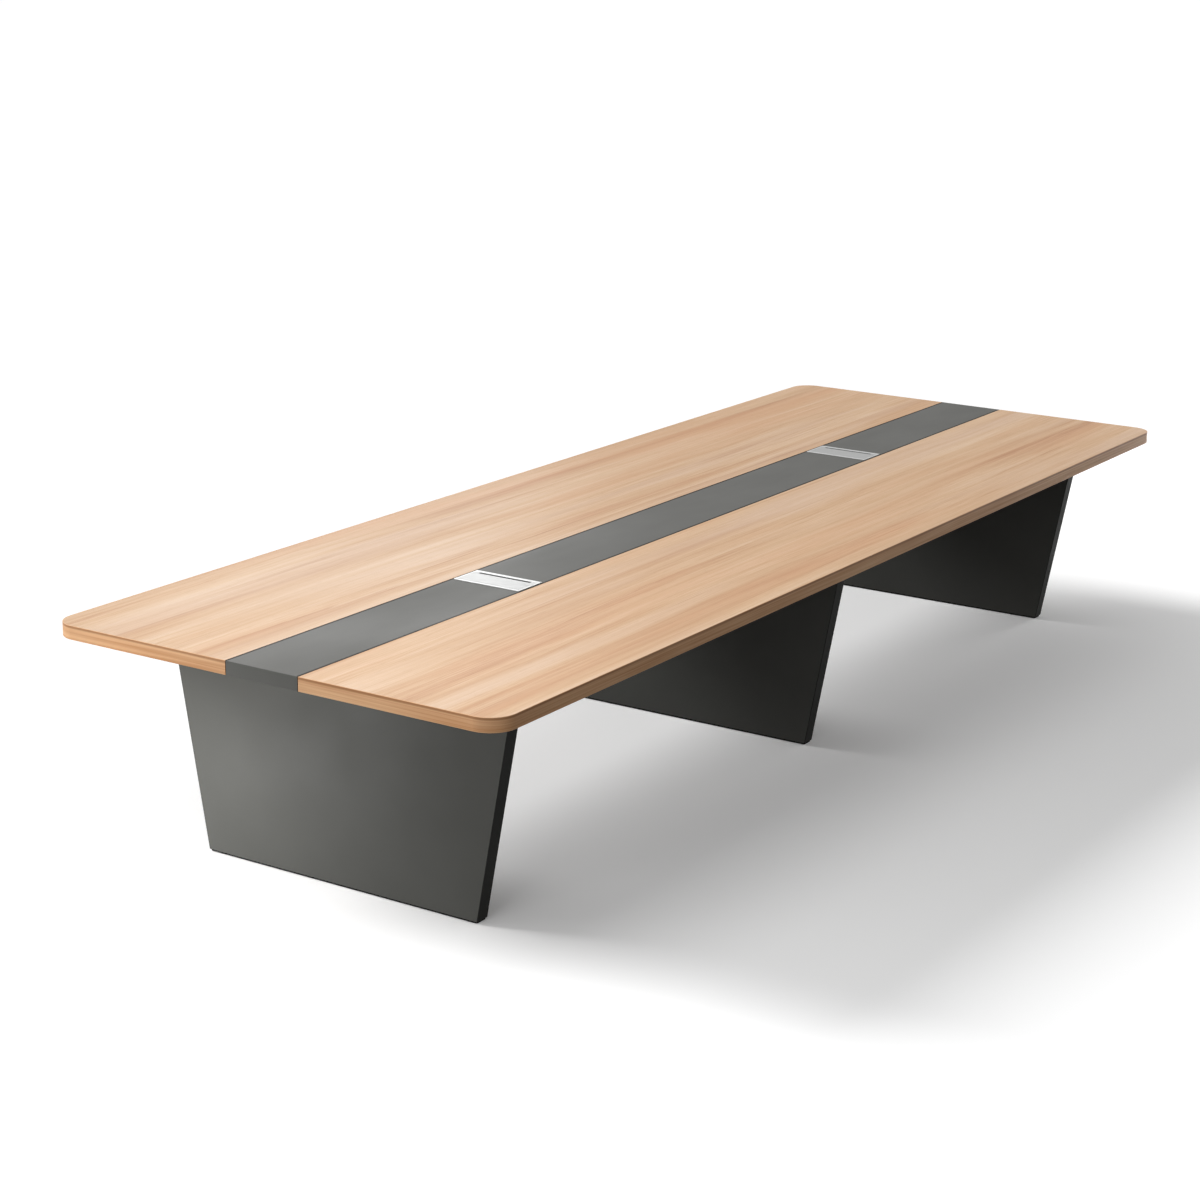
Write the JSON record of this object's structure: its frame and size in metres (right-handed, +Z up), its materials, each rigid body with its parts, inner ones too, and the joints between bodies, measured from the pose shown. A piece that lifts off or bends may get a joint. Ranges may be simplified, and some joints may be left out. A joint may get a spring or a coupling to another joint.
{
  "type": "conference table",
  "caption": "Long conference table: wood-look top split by a grey centre strip with flip-lid cable boxes, on tapered slab legs with levelling feet.",
  "frame": {"origin": "on the floor under the middle of the table", "axes": "+X along the table towards the far end, +Y across it towards the rear side, +Z up"},
  "size_m": [4.5, 1.6, 0.752],
  "materials": {
    "wood_leaf": "satin wood-grain melamine",
    "wood_edge": "satin wood-grain edge band",
    "joint_edge": "satin dark brown edge band",
    "raw_board": "raw particle board",
    "spine_melamine": "matt grey melamine",
    "spine_edge": "matt grey edge band",
    "leg_melamine": "matt dark grey melamine",
    "leg_edge": "matt dark grey edge band",
    "base_plastic": "black extruded plastic",
    "zinc_steel": "bright zinc plate",
    "foot_nylon": "black moulded nylon on a steel stud",
    "frame_paint": "black powder coat",
    "box_aluminium": "brushed silver-white anodised",
    "bumper_rubber": "black rubber",
    "brush_nylon": "black nylon bristle",
    "tub_paint": "black powder coat"
  },
  "bodies": {
    "table": {"front_top_board": "wood_leaf", "rear_top_board": "wood_leaf", "front_edge_band": "wood_edge", "rear_edge_band": "wood_edge", "front_inner_band": "joint_edge", "rear_inner_band": "joint_edge", "front_edge_strips": "raw_board", "rear_edge_strips": "raw_board", "spine_battens": "raw_board", "near_spine_board": "spine_melamine", "middle_spine_board": "spine_melamine", "far_spine_board": "spine_melamine", "near_spine_end_band": "spine_edge", "far_spine_end_band": "spine_edge", "near_leg_slab": "leg_melamine", "centre_leg_slab": "leg_melamine", "far_leg_slab": "leg_melamine", "near_leg_edge_bands": "leg_edge", "centre_leg_edge_bands": "leg_edge", "far_leg_edge_bands": "leg_edge", "near_base_strip": "base_plastic", "centre_base_strip": "base_plastic", "far_base_strip": "base_plastic", "foot_inserts": "zinc_steel", "leg_brackets": "zinc_steel", "rail_plate_bolts": "zinc_steel", "bracket_screws": "zinc_steel", "rail_screws": "zinc_steel", "near_hinge_pins": "zinc_steel", "far_hinge_pins": "zinc_steel", "near_tub_screws": "zinc_steel", "far_tub_screws": "zinc_steel", "near_front_rail": "frame_paint", "near_rear_rail": "frame_paint", "far_front_rail": "frame_paint", "far_rear_rail": "frame_paint", "near_cross_bars": "frame_paint", "far_cross_bars": "frame_paint", "near_rail_plates": "frame_paint", "far_rail_plates": "frame_paint", "near_box_bezel": "box_aluminium", "far_box_bezel": "box_aluminium", "near_lid_bumpers": "bumper_rubber", "far_lid_bumpers": "bumper_rubber", "near_outlet_grommet": "bumper_rubber", "far_outlet_grommet": "bumper_rubber", "near_box_brush": "brush_nylon", "far_box_brush": "brush_nylon", "near_box_tub": "tub_paint", "far_box_tub": "tub_paint"},
    "near_lid": {"near_box_lid": "box_aluminium"},
    "far_lid": {"far_box_lid": "box_aluminium"},
    "near_front_foot": {"near_front_foot": "foot_nylon"},
    "near_rear_foot": {"near_rear_foot": "foot_nylon"},
    "centre_front_foot": {"centre_front_foot": "foot_nylon"},
    "centre_rear_foot": {"centre_rear_foot": "foot_nylon"},
    "far_front_foot": {"far_front_foot": "foot_nylon"},
    "far_rear_foot": {"far_rear_foot": "foot_nylon"}
  },
  "joints": [
    {"name": "near_lid_hinge", "type": "hinge", "parent": "table", "child": "near_lid", "pos_m": [-1.17965, 0, 0.749], "axis": [0, -1, 0], "range_deg": [0, 95]},
    {"name": "far_lid_hinge", "type": "hinge", "parent": "table", "child": "far_lid", "pos_m": [1.08035, 0, 0.749], "axis": [0, -1, 0], "range_deg": [0, 95]},
    {"name": "near_front_foot_screw", "type": "slide", "parent": "table", "child": "near_front_foot", "axis": [0, 0, -1], "range_m": [0, 0.012]},
    {"name": "near_rear_foot_screw", "type": "slide", "parent": "table", "child": "near_rear_foot", "axis": [0, 0, -1], "range_m": [0, 0.012]},
    {"name": "centre_front_foot_screw", "type": "slide", "parent": "table", "child": "centre_front_foot", "axis": [0, 0, -1], "range_m": [0, 0.012]},
    {"name": "centre_rear_foot_screw", "type": "slide", "parent": "table", "child": "centre_rear_foot", "axis": [0, 0, -1], "range_m": [0, 0.012]},
    {"name": "far_front_foot_screw", "type": "slide", "parent": "table", "child": "far_front_foot", "axis": [0, 0, -1], "range_m": [0, 0.012]},
    {"name": "far_rear_foot_screw", "type": "slide", "parent": "table", "child": "far_rear_foot", "axis": [0, 0, -1], "range_m": [0, 0.012]}
  ]
}
